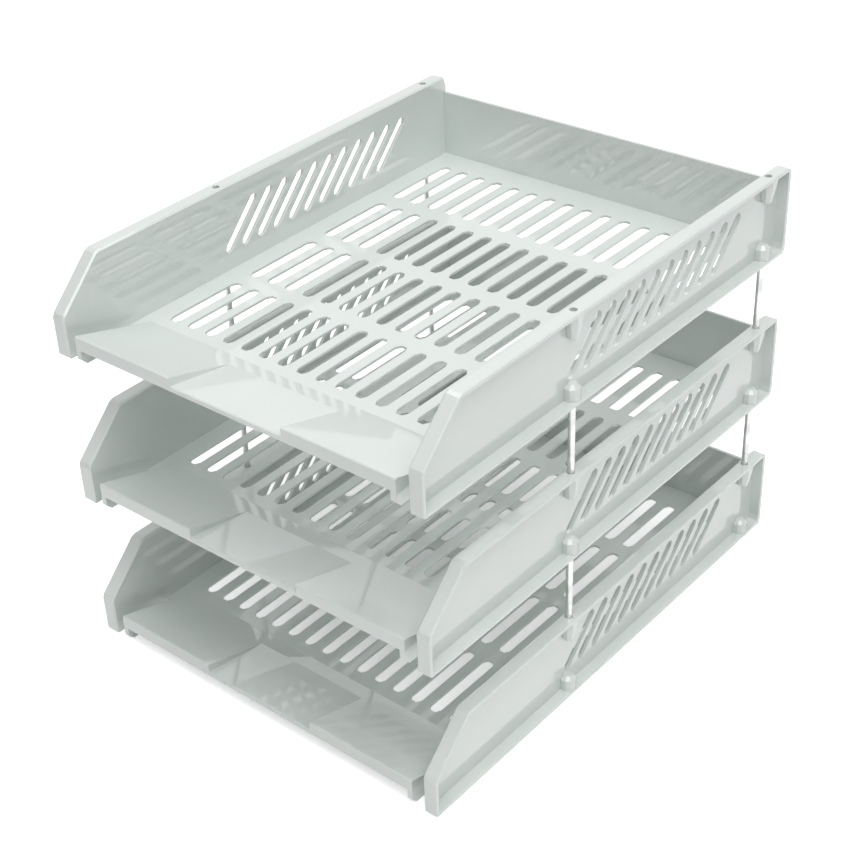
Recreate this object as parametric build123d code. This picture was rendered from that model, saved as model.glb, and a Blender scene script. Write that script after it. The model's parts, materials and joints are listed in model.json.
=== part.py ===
from build123d import *
import math
import os

# A stack of three open letter trays on metal rods. Each tray is a slotted floor with a raised
# front ramp, two framed side panels and a plain back panel, and it stands on four rods that are
# seated in the rims of the tray below. Millimetres, +Z up, +Y to the rear, origin at the middle
# of the footprint on the table.

# ---- Whole stack ----
overall_width = 265.0
overall_depth = 337.0
tier_pitch = 99.0
tier_names = ("bottom", "middle", "top")
link_names = ("lower", "upper")

# ---- Side panel: outline in the YZ plane ----
side_height = 55.0
side_front_height = 26.0
side_slope_run = 30.0
side_depth = 9.2
side_wall = 2.3
rim_thickness = 2.0
foot_rail_thickness = 2.4
rear_flange_thickness = 3.0
side_front_foot_reach = 1.2
side_rear_foot_reach = 2.5
side_rear_top_reach = 3.5
side_slope_reach = 1.5
rim_outer_chamfer = 0.5
rim_inner_chamfer = 1.1
recess_corner_reach = 5.0

# ---- Side panel: slanted slots, whose round ends are drawn with a few straight sides ----
side_slot_width = 6.1
side_slot_length = 39.8
side_slot_angle = 45.6
side_slot_end_sides = 3
side_slot_pitch = 13.8
side_slot_lead = 13.7
side_slot_centre_height = 27.2
side_slot_rear_margin = 19.0

# ---- Rods and their seats; bosses and filled seats are drawn with a few straight sides ----
rod_diameter = 4.0
rod_clearance = 0.1
rod_inset = 4.9
front_rod_setback = 127.3
rear_rod_setback = 18.5
rim_seat_depth = 10.0
foot_seat_depth = 9.5
foot_boss_radius = 4.9
foot_boss_height = 12.0
foot_boss_chamfer = 2.3
boss_sides = 10
seat_sides = 8
rim_boss_top_radius = 5.5
rim_boss_low_radius = 2.9
rim_boss_height = 14.0

# ---- Floor: its slots' round ends are drawn with a few straight sides too ----
floor_thickness = 1.5
floor_front_setback = 42.0
slot_width = 7.5
slot_length = 56.0
slot_end_sides = 3
slot_pitch = 14.15
slot_side_margin = 11.5
slot_row_pitch = 66.0
slot_row_setback = 63.0
slot_rear_margin = 10.0

# ---- Front ramp, lip and thumb notch ----
ramp_foot_setback = 55.5
ramp_sheet = 2.2
lip_height = 17.7
lip_face_height = 8.3
lip_side_gap = 7.6
lip_chamfer = 0.8
notch_width = 81.0
notch_drop = 5.3
notch_crease_setback = 44.0
skirt_thickness = 3.5
skirt_corner_chamfer = 3.5

# ---- Back panel ----
back_height = 44.5
back_thickness = 1.8

# ---- Snap tabs that hold a tray together ----
tab_thickness = 1.0
tab_reach = 3.5
tab_clearance = 0.1
floor_tab_length = 14.0
floor_tab_pitch = 175.0
floor_tab_setback = 90.0
floor_tab_count = 2
rear_tab_pitch = 125.0
rear_tab_count = 2
back_tab_height = 16.0
back_tab_low = 15.0

# ---- Sizes worked out from the values above ----
half_width = overall_width / 2
inner_half_width = half_width - side_depth
front_y = -overall_depth / 2
rear_y = overall_depth / 2
back_face_y = rear_y - back_thickness
rod_x = half_width - rod_inset
rod_ys = (front_y + front_rod_setback, rear_y - rear_rod_setback)
rod_length = tier_pitch - side_height + rim_seat_depth + foot_seat_depth
seat_radius = rod_diameter / 2 + rod_clearance
lip_half_width = inner_half_width - lip_side_gap
ramp_slope = (lip_height - floor_thickness) / ramp_foot_setback


def ramp_top(setback):
    """Height of the ramp's top face, measured back from the front edge."""
    return lip_height - ramp_slope * setback


def yz_plate(outline, x_low, x_high):
    """A plate with the given YZ outline between two X positions."""
    return extrude(Plane.YZ.offset(x_low) * outline, amount=x_high - x_low)


def yz_polygon(points):
    """A filled outline from points given as setback from the front edge and height."""
    placed = [(front_y + setback, height) for setback, height in points]
    return make_face(Polyline(*placed, close=True))


def box_between(low, high):
    """A box from its lowest to its highest corner."""
    size = [b - a for a, b in zip(low, high)]
    centre = [(a + b) / 2 for a, b in zip(low, high)]
    return Pos(*centre) * Box(*size)


def grown(low, high, amount):
    """The same two corners moved apart by the given clearance."""
    return [value - amount for value in low], [value + amount for value in high]


def long_slot(length, width, end_sides, tilt):
    """A round-ended slot about its centre, tilted by an angle from the first axis."""
    radius = width / 2
    reach = length / 2 - radius
    points = []
    for end, start_angle in ((reach, -90), (-reach, 90)):
        for step in range(end_sides + 1):
            angle = math.radians(start_angle + 180 * step / end_sides)
            points.append((end + radius * math.cos(angle), radius * math.sin(angle)))
    return Rot(0, 0, tilt) * make_face(Polyline(*points, close=True))


# ---- Snap tabs, as lowest and highest corners ----
tab_low_z = floor_thickness - tab_thickness
back_tab_y = back_face_y + (back_thickness - tab_thickness) / 2


def floor_side_tabs():
    """Tabs on the floor's right edge, which go into the side panel's foot rail."""
    corners = []
    for index in range(floor_tab_count):
        centre_y = front_y + floor_tab_setback + index * floor_tab_pitch
        low = (inner_half_width, centre_y - floor_tab_length / 2, tab_low_z)
        high = (inner_half_width + tab_reach, centre_y + floor_tab_length / 2, tab_low_z + tab_thickness)
        corners.append((low, high))
    return corners


def floor_rear_tabs():
    """Tabs on the floor's rear edge, which go through the back panel."""
    corners = []
    for index in range(rear_tab_count):
        centre_x = (index - (rear_tab_count - 1) / 2) * rear_tab_pitch
        low = (centre_x - floor_tab_length / 2, back_face_y, tab_low_z)
        high = (centre_x + floor_tab_length / 2, rear_y, tab_low_z + tab_thickness)
        corners.append((low, high))
    return corners


def back_side_tab():
    """The tab on the back panel's right edge, which goes into the side panel's rear flange."""
    low = (inner_half_width, back_tab_y, back_tab_low)
    high = (inner_half_width + tab_reach, back_tab_y + tab_thickness, back_tab_low + back_tab_height)
    return low, high


# ---- Side panel ----
def eased_corner(before, corner, after, reach, steps):
    """Points that ease an outline's corner over the same reach of both its edges."""
    starts = []
    for other in (before, after):
        share = reach / math.dist(corner, other)
        starts.append([c + share * (o - c) for c, o in zip(corner, other)])
    points = []
    for step in range(steps + 1):
        t = step / steps
        weights = ((1 - t) ** 2, 2 * t * (1 - t), t ** 2)
        spots = (starts[0], corner, starts[1])
        points.append(tuple(sum(w * spot[axis] for w, spot in zip(weights, spots)) for axis in range(2)))
    return points


def side_outline():
    """The panel's outline: upright front edge, slope, level top and upright rear, with eased corners."""
    corners = (
        ((0, 0), side_front_foot_reach, 1),
        ((overall_depth, 0), side_rear_foot_reach, 1),
        ((overall_depth, side_height), side_rear_top_reach, 2),
        ((side_slope_run, side_height), side_slope_reach, 1),
        ((0, side_front_height), side_slope_reach, 1),
    )
    points = []
    for index, (corner, reach, steps) in enumerate(corners):
        before = corners[index - 1][0]
        after = corners[(index + 1) % len(corners)][0]
        points += eased_corner(before, corner, after, reach, steps)
    return yz_polygon(points)


def side_recess(outline):
    """The hollow of the panel's outer side, inside the rim, foot rail and rear flange."""
    inside = offset(outline, -rim_thickness)
    rear = overall_depth - rear_flange_thickness
    front_foot = (0, foot_rail_thickness)
    rear_foot = (rear, foot_rail_thickness)
    rear_top = (rear, side_height)
    window = yz_polygon([
        (0, side_height),
        front_foot,
        *eased_corner(front_foot, rear_foot, rear_top, recess_corner_reach, 2),
        rear_top,
    ])
    return yz_plate(inside & window, inner_half_width + side_wall, half_width)


def side_slots():
    """Slanted slots through the wall, from the front rod back to the rear one."""
    lean = side_slot_length * math.cos(math.radians(side_slot_angle))
    first = rod_ys[0] + side_slot_lead
    last = rod_ys[1] - side_slot_rear_margin - lean / 2
    count = int((last - first) / side_slot_pitch) + 1
    slot = long_slot(side_slot_length, side_slot_width, side_slot_end_sides, side_slot_angle)
    places = [Pos(first + index * side_slot_pitch, side_slot_centre_height) for index in range(count)]
    return yz_plate(Sketch() + [place * slot for place in places], inner_half_width, half_width)


def foot_boss():
    """A many-sided boss on the foot rail, with a chamfered top, for the top end of a rod."""
    boss = extrude(RegularPolygon(foot_boss_radius, boss_sides), amount=foot_boss_height)
    return chamfer(boss.faces().sort_by(Axis.Z)[-1].edges(), foot_boss_chamfer)


def rim_boss():
    """An eight-sided tapered boss under the rim, where two four-sided ones meet, for the foot of a rod."""
    width = 2 * rim_boss_top_radius
    low = rim_boss_top_radius - rim_boss_low_radius
    high = width - low
    wedge = Rot(-90, 0, 0) * Wedge(width, rim_boss_height, width, low, low, high, high)
    return Pos(0, 0, -rim_boss_height / 2) * (wedge & Rot(0, 0, 45) * wedge)


def filled_seat(depth):
    """The blind hole round the end of a rod, as deep as the rod goes in."""
    return extrude(RegularPolygon(seat_radius, seat_sides, major_radius=False), amount=depth)


def open_seat(depth):
    """The same hole where it stays empty, drawn round."""
    return Cylinder(seat_radius, depth, align=(Align.CENTER, Align.CENTER, Align.MIN))


def side_panel(rim_seat):
    """The right-hand panel of a tray, with its foot at height zero and the given holes in its rim."""
    outline = side_outline()
    blank = yz_plate(outline, inner_half_width, half_width)
    blank = chamfer(blank.faces().sort_by(Axis.X)[-1].edges(), rim_outer_chamfer)
    inner_edges = blank.faces().sort_by(Axis.X)[0].edges()
    shown_edges = [
        edge for edge in inner_edges
        if edge.center().Z > foot_rail_thickness and round(edge.center().Y, 3) < rear_y
    ]
    blank = chamfer(shown_edges, rim_inner_chamfer)
    panel = blank - side_recess(outline) - side_slots()
    envelope = yz_plate(outline, inner_half_width + side_wall / 2, half_width)
    foot_seat = filled_seat(foot_seat_depth)
    for rod_y in rod_ys:
        low = Pos(rod_x, rod_y, 0)
        high = Pos(rod_x, rod_y, side_height - rim_thickness)
        panel += (low * foot_boss()) & envelope
        panel += (high * rim_boss()) & envelope
        panel -= low * foot_seat
        panel -= Pos(rod_x, rod_y, side_height - rim_seat_depth) * rim_seat
    for low, high in floor_side_tabs() + [back_side_tab()]:
        panel -= box_between(*grown(low, high, tab_clearance))
    return panel


# ---- Base: slotted floor, ramp, lip and notch ----
def floor_slots():
    """Rows of long round-ended slots that run front to back."""
    usable_width = 2 * (inner_half_width - slot_side_margin)
    columns = int((usable_width - slot_width) / slot_pitch) + 1
    usable_depth = overall_depth - back_thickness - slot_rear_margin - slot_row_setback
    rows = int((usable_depth - slot_length) / slot_row_pitch) + 1
    slot = long_slot(slot_length, slot_width, slot_end_sides, 90)
    places = []
    for row in range(rows):
        y = front_y + slot_row_setback + slot_length / 2 + row * slot_row_pitch
        for column in range(columns):
            places.append(Pos((column - (columns - 1) / 2) * slot_pitch, y))
    return extrude(Sketch() + [place * slot for place in places], amount=floor_thickness)


def ramp_profile(front_height):
    """The sheet from the floor up to the notch's crease and on to the folded lip at the given height."""
    crease_height = ramp_top(notch_crease_setback)
    slope = (front_height - crease_height) / notch_crease_setback
    lip_foot = lip_height - lip_face_height
    underside_foot = (lip_height - ramp_sheet) / ramp_slope
    return yz_polygon([
        (0, front_height - lip_chamfer),
        (lip_chamfer, front_height - slope * lip_chamfer),
        (notch_crease_setback, crease_height),
        (ramp_foot_setback, floor_thickness),
        (ramp_foot_setback, 0),
        (underside_foot, 0),
        (notch_crease_setback, crease_height - ramp_sheet),
        (ramp_sheet, front_height - slope * ramp_sheet - ramp_sheet),
        (ramp_sheet, lip_foot),
        (0, lip_foot),
    ])


def base():
    """The floor of a tray with its front ramp, the underside of the floor at height zero."""
    floor_low = (-inner_half_width, front_y + floor_front_setback, 0)
    floor_high = (inner_half_width, back_face_y, floor_thickness)
    body = box_between(floor_low, floor_high) - floor_slots()
    notch_half = notch_width / 2
    ramp = ramp_profile(lip_height)
    dip = ramp_profile(lip_height - notch_drop)
    cheek = yz_polygon([
        (0, lip_height - lip_chamfer),
        (lip_chamfer, ramp_top(lip_chamfer)),
        (notch_crease_setback, ramp_top(notch_crease_setback)),
        (notch_crease_setback, ramp_top(notch_crease_setback) - ramp_sheet),
        (ramp_sheet, lip_height - lip_face_height),
        (0, lip_height - lip_face_height),
    ])
    skirt = yz_polygon([
        (0, lip_height - lip_chamfer),
        (lip_chamfer, ramp_top(lip_chamfer)),
        (ramp_foot_setback, floor_thickness),
        (ramp_foot_setback, 0),
        (skirt_corner_chamfer, 0),
        (0, skirt_corner_chamfer),
    ])
    right_ramp = yz_plate(ramp, notch_half, lip_half_width)
    right_ramp += yz_plate(cheek, notch_half, notch_half + ramp_sheet)
    right_ramp += yz_plate(skirt, lip_half_width - skirt_thickness, lip_half_width)
    body += yz_plate(dip, -notch_half, notch_half)
    body += right_ramp
    body += mirror(right_ramp, Plane.YZ)
    for low, high in floor_side_tabs():
        tab = box_between(low, high)
        body += tab
        body += mirror(tab, Plane.YZ)
    for low, high in floor_rear_tabs():
        body += box_between(low, high)
    return body


# ---- Back panel ----
def back_panel():
    """The plain wall between the side panels, a little lower than they are."""
    panel = box_between((-inner_half_width, back_face_y, 0), (inner_half_width, rear_y, back_height))
    for low, high in floor_rear_tabs():
        low, high = grown(low, high, tab_clearance)
        panel -= box_between((low[0], back_face_y, low[2]), (high[0], rear_y, high[2]))
    tab = box_between(*back_side_tab())
    return panel + tab + mirror(tab, Plane.YZ)


# ---- Rod ----
def rod():
    """A plain rod, standing on height zero."""
    return Cylinder(rod_diameter / 2, rod_length, align=(Align.CENTER, Align.CENTER, Align.MIN))


# ---- The stack ----
def write(piece, node, place):
    """Writes one piece at its place in the stack."""
    solid = place * piece
    solid.label = node
    export_step(solid, f"parts/{node}.step")


os.makedirs("parts", exist_ok=True)
floor = base()
back = back_panel()
carrying_side = side_panel(filled_seat(rim_seat_depth))
top_side = side_panel(open_seat(rim_seat_depth))
for tier, tier_name in enumerate(tier_names):
    place = Pos(0, 0, tier * tier_pitch)
    side = top_side if tier_name == tier_names[-1] else carrying_side
    write(floor, f"{tier_name}_base", place)
    write(back, f"{tier_name}_back_panel", place)
    write(side, f"{tier_name}_right_side", place)
    write(mirror(side, Plane.YZ), f"{tier_name}_left_side", place)
bar = rod()
for link, link_name in enumerate(link_names):
    seat_z = link * tier_pitch + side_height - rim_seat_depth
    for row_name, rod_y in zip(("front", "rear"), rod_ys):
        for side_name, sign in (("left", -1), ("right", 1)):
            write(bar, f"{link_name}_{row_name}_{side_name}_rod", Pos(sign * rod_x, rod_y, seat_z))
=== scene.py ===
import json
import math
import bpy
from mathutils import Matrix, Vector


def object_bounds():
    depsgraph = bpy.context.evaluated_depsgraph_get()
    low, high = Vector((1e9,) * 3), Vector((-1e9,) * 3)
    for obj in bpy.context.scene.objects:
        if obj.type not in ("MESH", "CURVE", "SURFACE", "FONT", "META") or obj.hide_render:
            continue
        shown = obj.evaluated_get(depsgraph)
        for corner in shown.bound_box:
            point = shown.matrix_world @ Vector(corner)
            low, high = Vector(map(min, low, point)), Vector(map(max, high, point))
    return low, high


# The letter tray stack in its studio: glossy moulded plastic trays on bright steel rods.
# Metres, in the same frame as the parts.

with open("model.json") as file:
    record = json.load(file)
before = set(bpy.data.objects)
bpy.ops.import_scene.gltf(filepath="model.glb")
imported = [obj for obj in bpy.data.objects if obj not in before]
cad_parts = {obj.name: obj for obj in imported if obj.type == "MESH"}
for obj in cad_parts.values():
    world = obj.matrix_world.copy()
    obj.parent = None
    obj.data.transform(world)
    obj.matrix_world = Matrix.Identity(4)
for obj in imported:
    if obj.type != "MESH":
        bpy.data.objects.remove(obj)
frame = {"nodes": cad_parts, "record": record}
cad_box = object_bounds()

# ---- Camera: the photograph's viewpoint ----
PHOTO_SIZE = 855
SENSOR_WIDTH = 36.0
CAMERA_PLACE = (0.55886, -0.66112, 0.67242)
CAMERA_YAW = 43.206
CAMERA_PITCH = -33.838
CAMERA_ROLL = -3.836
FOCAL_PIXELS = 1701.84
OPTICAL_CENTRE_X = 363.59
OPTICAL_CENTRE_Y = 458.53

# ---- Plastic ----
PLASTIC_PALE = (0.695, 0.741, 0.713)
PLASTIC_DEEP = (0.658, 0.706, 0.678)
PLASTIC_ROUGHNESS = (0.30, 0.42)
PLASTIC_SPECULAR = 0.1
PLASTIC_COAT = 1.0
PLASTIC_COAT_ROUGHNESS = 0.03
PLASTIC_COAT_IOR = 1.85
MOULD_EDGE_RADIUS = 0.0006
MOULD_EDGE_SAMPLES = 6
CLOUD_SCALE = 9.0
SCUFF_SCALE = 60.0
WAVE_SCALE = 22.0
WAVE_STRENGTH = 0.07
WAVE_HEIGHT = 0.0006
GRAIN_SCALE = 1800.0
GRAIN_STRENGTH = 0.06
GRAIN_HEIGHT = 0.00005

# ---- Steel ----
STEEL_PALE = (0.77, 0.775, 0.765)
STEEL_DEEP = (0.58, 0.585, 0.58)
STEEL_ROUGHNESS = (0.16, 0.30)
PATCH_SCALE = 120.0
DRAWN_LINE_SCALE = 2500.0
DRAWN_LINE_STRENGTH = 0.1
DRAWN_LINE_HEIGHT = 0.00003

# ---- Floor ----
FLOOR_SIZE = 8.0
FLOOR_COLOUR = (0.90, 0.905, 0.905)
FLOOR_PALER = 1.01
FLOOR_TONE_SCALE = 2.0
FLOOR_ROUGHNESS = 0.9
# The floor shows a white glow of its own, which grows from the first strength to the second: weak
# under the object, which is a painted shadow under the stack, and full around it.
# The shares are of the way from the middle of the footprint to its edge.
FLOOR_GLOW_WITH_PAINTED_SHADE = (0.06, 0.52)
FLOOR_PAINTED_SHADE_SHARES = (0.15, 1.10)

# ---- Light ----
WHITE = (1.0, 1.0, 1.0)
# The sky's light grows between two heights of a direction: 0 is the horizon, 1 straight up.
SKY_LIGHT = 0.46
SKY_HEIGHTS = (0.3, 0.8)
SIDE_LIGHT = 0.22
SIDE_DIRECTION = (0.70, 0.70, 0.15)
KEY_PLACE = (0.9, -0.7, 1.8)
KEY_SIZE = 1.8
KEY_POWER = 22.5
OVERHEAD_PLACE = (0.0, 0.2, 2.1)
OVERHEAD_SIZE = 2.2
OVERHEAD_POWER = 19.0


# ---- Node helpers ----
def empty_material(name):
    """A new material that has only a Principled shader: the material, its tree and the shader."""
    material = bpy.data.materials.new(name)
    material.use_nodes = True
    tree = material.node_tree
    tree.nodes.clear()
    output = tree.nodes.new("ShaderNodeOutputMaterial")
    shader = tree.nodes.new("ShaderNodeBsdfPrincipled")
    tree.links.new(shader.outputs["BSDF"], output.inputs["Surface"])
    return material, tree, shader


def object_noise(tree, scale, stretch=(1, 1, 1), detail=3.0, roughness=0.5):
    """Noise fixed to the object. Its features are longer along an axis with a smaller stretch."""
    place = tree.nodes.new("ShaderNodeTexCoord")
    mapping = tree.nodes.new("ShaderNodeMapping")
    mapping.inputs["Scale"].default_value = stretch
    noise = tree.nodes.new("ShaderNodeTexNoise")
    noise.inputs["Scale"].default_value = scale
    noise.inputs["Detail"].default_value = detail
    noise.inputs["Roughness"].default_value = roughness
    tree.links.new(place.outputs["Object"], mapping.inputs["Vector"])
    tree.links.new(mapping.outputs["Vector"], noise.inputs["Vector"])
    return noise.outputs["Fac"]


def colour_range(tree, value, low_colour, high_colour, low=0.35, high=0.65):
    """Turns a value into a colour between two, over the middle of the value's range."""
    ramp = tree.nodes.new("ShaderNodeValToRGB")
    ramp.color_ramp.elements[0].position = low
    ramp.color_ramp.elements[0].color = (*low_colour, 1)
    ramp.color_ramp.elements[1].position = high
    ramp.color_ramp.elements[1].color = (*high_colour, 1)
    tree.links.new(value, ramp.inputs["Fac"])
    return ramp.outputs["Color"]


def number_range(tree, value, low, high, from_low=0.3, from_high=0.7):
    """Maps a value onto another range, and keeps it inside."""
    spread = tree.nodes.new("ShaderNodeMapRange")
    spread.inputs["From Min"].default_value = from_low
    spread.inputs["From Max"].default_value = from_high
    spread.inputs["To Min"].default_value = low
    spread.inputs["To Max"].default_value = high
    tree.links.new(value, spread.inputs["Value"])
    return spread.outputs["Result"]


def calculated(tree, operation, *values):
    """The result of a Math operation over values, each a number or another node's output."""
    node = tree.nodes.new("ShaderNodeMath")
    node.operation = operation
    for socket, value in zip(node.inputs, values):
        if isinstance(value, (int, float)):
            socket.default_value = value
        else:
            tree.links.new(value, socket)
    return node.outputs["Value"]


def vector_node(tree, operation, vector, other=None):
    """A Vector Math node over another node's output and, if given, a constant vector."""
    node = tree.nodes.new("ShaderNodeVectorMath")
    node.operation = operation
    tree.links.new(vector, node.inputs[0])
    if other is not None:
        node.inputs[1].default_value = other
    return node


def bumped(tree, height, strength, distance, normal=None):
    """A bump from a height, on top of a given normal."""
    bump = tree.nodes.new("ShaderNodeBump")
    bump.inputs["Strength"].default_value = strength
    bump.inputs["Distance"].default_value = distance
    tree.links.new(height, bump.inputs["Height"])
    if normal is not None:
        tree.links.new(normal, bump.inputs["Normal"])
    return bump.outputs["Normal"]


def rounded_edges(tree, radius):
    """A normal that rounds every edge a little, as a mould does."""
    bevel = tree.nodes.new("ShaderNodeBevel")
    bevel.samples = MOULD_EDGE_SAMPLES
    bevel.inputs["Radius"].default_value = radius
    return bevel.outputs["Normal"]


def shown_rays(tree):
    """1 for camera, glossy and transmission rays, 0 for the rays that light the object."""
    path = tree.nodes.new("ShaderNodeLightPath").outputs
    seen = calculated(tree, "MAXIMUM", path["Is Camera Ray"], path["Is Glossy Ray"])
    return calculated(tree, "MAXIMUM", seen, path["Is Transmission Ray"])


# ---- Materials ----
def tray_plastic():
    """Pale grey-green moulded plastic, glossy and slightly wavy, with soft edges and scuffs."""
    material, tree, shader = empty_material("tray_plastic")
    cloud = object_noise(tree, CLOUD_SCALE)
    scuffs = object_noise(tree, SCUFF_SCALE, stretch=(1, 0.2, 1), detail=5.0, roughness=0.65)
    wave = object_noise(tree, WAVE_SCALE, stretch=(1, 0.6, 1), detail=2.0)
    grain = object_noise(tree, GRAIN_SCALE, detail=2.0)
    colour = colour_range(tree, cloud, PLASTIC_DEEP, PLASTIC_PALE)
    tree.links.new(colour, shader.inputs["Base Color"])
    tree.links.new(number_range(tree, scuffs, *PLASTIC_ROUGHNESS), shader.inputs["Roughness"])
    shader.inputs["Specular IOR Level"].default_value = PLASTIC_SPECULAR
    shader.inputs["Coat Weight"].default_value = PLASTIC_COAT
    shader.inputs["Coat Roughness"].default_value = PLASTIC_COAT_ROUGHNESS
    shader.inputs["Coat IOR"].default_value = PLASTIC_COAT_IOR
    soft = rounded_edges(tree, MOULD_EDGE_RADIUS)
    waved = bumped(tree, wave, WAVE_STRENGTH, WAVE_HEIGHT, soft)
    grained = bumped(tree, grain, GRAIN_STRENGTH, GRAIN_HEIGHT, waved)
    tree.links.new(grained, shader.inputs["Normal"])
    tree.links.new(waved, shader.inputs["Coat Normal"])
    return material


def rod_steel():
    """Drawn bright steel with fine lines along the rod."""
    material, tree, shader = empty_material("rod_steel")
    lines = object_noise(tree, DRAWN_LINE_SCALE, stretch=(1, 1, 0.02), detail=2.0)
    patches = object_noise(tree, PATCH_SCALE)
    colour = colour_range(tree, patches, STEEL_DEEP, STEEL_PALE)
    tree.links.new(colour, shader.inputs["Base Color"])
    tree.links.new(number_range(tree, lines, *STEEL_ROUGHNESS), shader.inputs["Roughness"])
    shader.inputs["Metallic"].default_value = 1.0
    drawn = bumped(tree, lines, DRAWN_LINE_STRENGTH, DRAWN_LINE_HEIGHT)
    tree.links.new(drawn, shader.inputs["Normal"])
    return material


def studio_floor():
    """A pale matt floor that shows white around the object, with a painted shadow that dims it
    under the object.
    """
    material, tree, shader = empty_material("studio_floor")
    tone = object_noise(tree, FLOOR_TONE_SCALE)
    paler = tuple(min(1.0, channel * FLOOR_PALER) for channel in FLOOR_COLOUR)
    tree.links.new(colour_range(tree, tone, FLOOR_COLOUR, paler), shader.inputs["Base Color"])
    shader.inputs["Roughness"].default_value = FLOOR_ROUGHNESS
    shader.inputs["Specular IOR Level"].default_value = 0.0
    shader.inputs["Emission Color"].default_value = (*WHITE, 1)
    half = (cad_box[1] - cad_box[0]) / 2
    place = tree.nodes.new("ShaderNodeTexCoord").outputs["Object"]
    shares = vector_node(tree, "MULTIPLY", place, (1 / half.x, 1 / half.y, 0)).outputs["Vector"]
    share = vector_node(tree, "LENGTH", shares).outputs["Value"]
    # The glow is weakest in the middle of the footprint: a painted shadow under the object.
    glow_with_painted_shade = number_range(tree, share, *FLOOR_GLOW_WITH_PAINTED_SHADE, *FLOOR_PAINTED_SHADE_SHARES)
    shown_glow_with_painted_shade = calculated(tree, "MULTIPLY", glow_with_painted_shade, shown_rays(tree))
    tree.links.new(shown_glow_with_painted_shade, shader.inputs["Emission Strength"])
    return material


def dress(material_by_slot):
    """Gives every part node the finish of its material slot."""
    slot_by_node = {part["node"]: part["material_slot"] for part in frame["record"]["subparts"]}
    for node, piece in frame["nodes"].items():
        material = material_by_slot[slot_by_node[node]]
        if not piece.material_slots:
            piece.data.materials.append(material)
        for slot in piece.material_slots:
            slot.material = material


# ---- Studio ----
def add_floor():
    """The floor under the object."""
    half = FLOOR_SIZE / 2
    mesh = bpy.data.meshes.new("studio_floor")
    corners = [(-half, -half, 0), (half, -half, 0), (half, half, 0), (-half, half, 0)]
    mesh.from_pydata(corners, [], [(0, 1, 2, 3)])
    mesh.materials.append(studio_floor())
    floor = bpy.data.objects.new("studio_floor", mesh)
    bpy.context.scene.collection.objects.link(floor)


def add_world():
    """Surroundings that show full white and light the object from above and the rear right."""
    world = bpy.data.worlds.new("studio")
    world.use_nodes = True
    tree = world.node_tree
    tree.nodes.clear()
    output = tree.nodes.new("ShaderNodeOutputWorld")
    background = tree.nodes.new("ShaderNodeBackground")
    background.inputs["Color"].default_value = (*WHITE, 1)
    direction = tree.nodes.new("ShaderNodeTexCoord").outputs["Generated"]
    split = tree.nodes.new("ShaderNodeSeparateXYZ")
    tree.links.new(direction, split.inputs["Vector"])
    sky = number_range(tree, split.outputs["Z"], 0.0, SKY_LIGHT, *SKY_HEIGHTS)
    side = Vector(SIDE_DIRECTION).normalized()
    towards_side = vector_node(tree, "DOT_PRODUCT", direction, side).outputs["Value"]
    nearness = calculated(tree, "MAXIMUM", towards_side, 0.0)
    lobe = calculated(tree, "MULTIPLY", nearness, nearness)
    light = calculated(tree, "MULTIPLY_ADD", lobe, SIDE_LIGHT, sky)
    strength = calculated(tree, "MAXIMUM", light, shown_rays(tree))
    tree.links.new(strength, background.inputs["Strength"])
    tree.links.new(background.outputs["Background"], output.inputs["Surface"])
    bpy.context.scene.world = world


def add_softbox(name, place, target, size, power):
    """A square area light that faces a target."""
    data = bpy.data.lights.new(name, "AREA")
    data.shape = "SQUARE"
    data.size = size
    data.energy = power
    lamp = bpy.data.objects.new(name, data)
    lamp.location = place
    lamp.rotation_mode = "QUATERNION"
    lamp.rotation_quaternion = (Vector(target) - Vector(place)).to_track_quat("-Z", "Y")
    bpy.context.scene.collection.objects.link(lamp)


def add_lights():
    """A large key above and in front on the right, and a wider light almost straight above."""
    middle = (cad_box[0] + cad_box[1]) / 2
    add_softbox("key", KEY_PLACE, middle, KEY_SIZE, KEY_POWER)
    add_softbox("overhead", OVERHEAD_PLACE, middle, OVERHEAD_SIZE, OVERHEAD_POWER)


def add_camera():
    """The photograph's camera, whose optical axis doesn't meet the picture in its middle."""
    yaw = math.radians(CAMERA_YAW)
    pitch = math.radians(CAMERA_PITCH)
    roll = math.radians(CAMERA_ROLL)
    reach = math.cos(pitch)
    forward = Vector((-math.sin(yaw) * reach, math.cos(yaw) * reach, math.sin(pitch)))
    level = forward.cross(Vector((0, 0, 1))).normalized()
    upright = level.cross(forward)
    right = math.cos(roll) * level + math.sin(roll) * upright
    up = math.cos(roll) * upright - math.sin(roll) * level
    data = bpy.data.cameras.new("photo_camera")
    data.sensor_width = SENSOR_WIDTH
    data.lens = SENSOR_WIDTH * FOCAL_PIXELS / PHOTO_SIZE
    data.shift_x = (PHOTO_SIZE / 2 - OPTICAL_CENTRE_X) / PHOTO_SIZE
    data.shift_y = (OPTICAL_CENTRE_Y - PHOTO_SIZE / 2) / PHOTO_SIZE
    camera = bpy.data.objects.new("photo_camera", data)
    turned = Matrix((right, up, -forward)).transposed()
    camera.matrix_world = Matrix.Translation(CAMERA_PLACE) @ turned.to_4x4()
    bpy.context.scene.collection.objects.link(camera)
    bpy.context.scene.camera = camera


bpy.context.scene.view_settings.view_transform = "Standard"
dress({"tray_plastic": tray_plastic(), "rod_steel": rod_steel()})
add_floor()
add_world()
add_lights()
add_camera()
